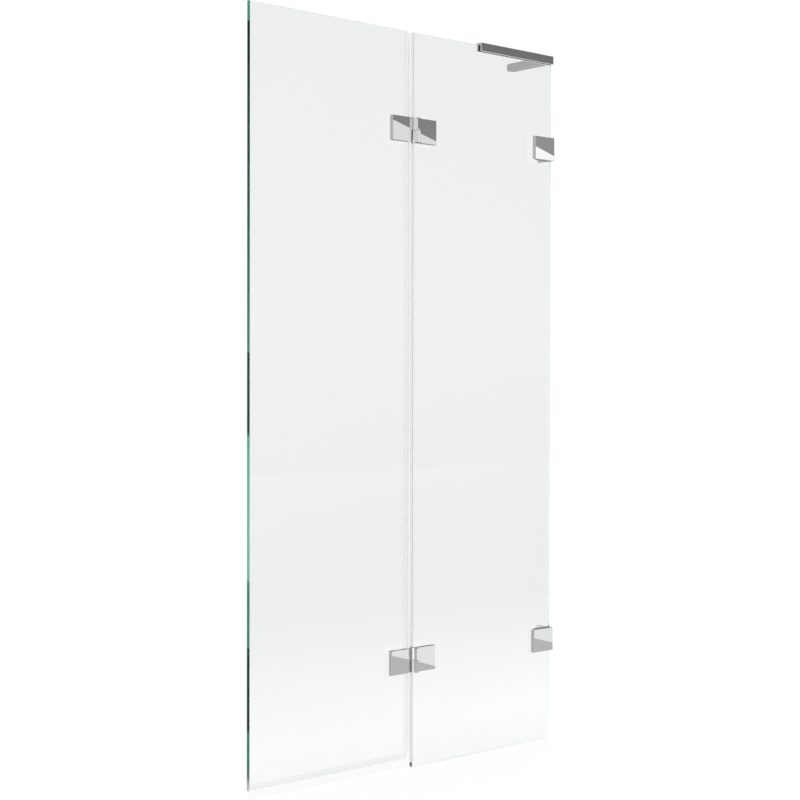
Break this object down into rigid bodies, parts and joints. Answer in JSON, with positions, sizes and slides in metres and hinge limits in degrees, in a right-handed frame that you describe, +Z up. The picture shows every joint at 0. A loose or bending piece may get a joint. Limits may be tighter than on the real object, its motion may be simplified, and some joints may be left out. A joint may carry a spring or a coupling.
{
  "type": "hinged glass bath screen",
  "caption": "Frameless clear glass bath screen: a fixed pane clamped to the wall, a hinged glass door, chrome hinges and clamps, and a top stabiliser bar.",
  "frame": {"origin": "middle of the fixed pane's bottom edge, half-way through the glass, on the bath rim", "axes": "+X along the glass towards the wall, +Y into the bath behind the glass, +Z up"},
  "size_m": [0.82, 0.1435, 1.505],
  "materials": {
    "glass": "clear, polished edges",
    "chrome": "bright polished chrome plate",
    "steel": "turned stainless steel",
    "clear_pvc": "clear soft plastic",
    "gasket": "grey soft pad",
    "nylon": "natural nylon"
  },
  "bodies": {
    "fixed": {"fixed_glass": "glass", "upper_fixed_leaf": "chrome", "upper_hinge_pin": "steel", "upper_hinge_washer": "nylon", "upper_fixed_gasket": "gasket", "upper_fixed_bolts": "steel", "upper_fixed_sleeves": "nylon", "upper_clamp_plate": "chrome", "upper_wall_angle": "chrome", "upper_clamp_front_gasket": "gasket", "upper_clamp_back_gasket": "gasket", "upper_clamp_screws": "steel", "upper_clamp_sleeves": "nylon", "lower_fixed_leaf": "chrome", "lower_hinge_pin": "steel", "lower_hinge_washer": "nylon", "lower_fixed_gasket": "gasket", "lower_fixed_bolts": "steel", "lower_fixed_sleeves": "nylon", "lower_clamp_plate": "chrome", "lower_wall_angle": "chrome", "lower_clamp_front_gasket": "gasket", "lower_clamp_back_gasket": "gasket", "lower_clamp_screws": "steel", "lower_clamp_sleeves": "nylon", "stabiliser_channel": "chrome", "stabiliser_arm": "chrome", "stabiliser_rail": "steel", "stabiliser_liner": "gasket", "stabiliser_grub_screws": "steel", "fixed_edge_seal_upper": "clear_pvc", "fixed_edge_seal_middle": "clear_pvc", "fixed_edge_seal_lower": "clear_pvc"},
    "door": {"door_glass": "glass", "upper_door_leaf": "chrome", "upper_hinge_bush": "nylon", "upper_door_gasket": "gasket", "upper_door_bolts": "steel", "upper_door_sleeves": "nylon", "lower_door_leaf": "chrome", "lower_hinge_bush": "nylon", "lower_door_gasket": "gasket", "lower_door_bolts": "steel", "lower_door_sleeves": "nylon", "door_bottom_seal": "clear_pvc", "door_edge_seal_upper": "clear_pvc", "door_edge_seal_middle": "clear_pvc", "door_edge_seal_lower": "clear_pvc"}
  },
  "joints": [
    {"name": "door_swing", "type": "hinge", "parent": "fixed", "child": "door", "pos_m": [-0.2025, -0.014, 0.7605], "axis": [0, 0, 1], "range_deg": [0, 165]}
  ]
}
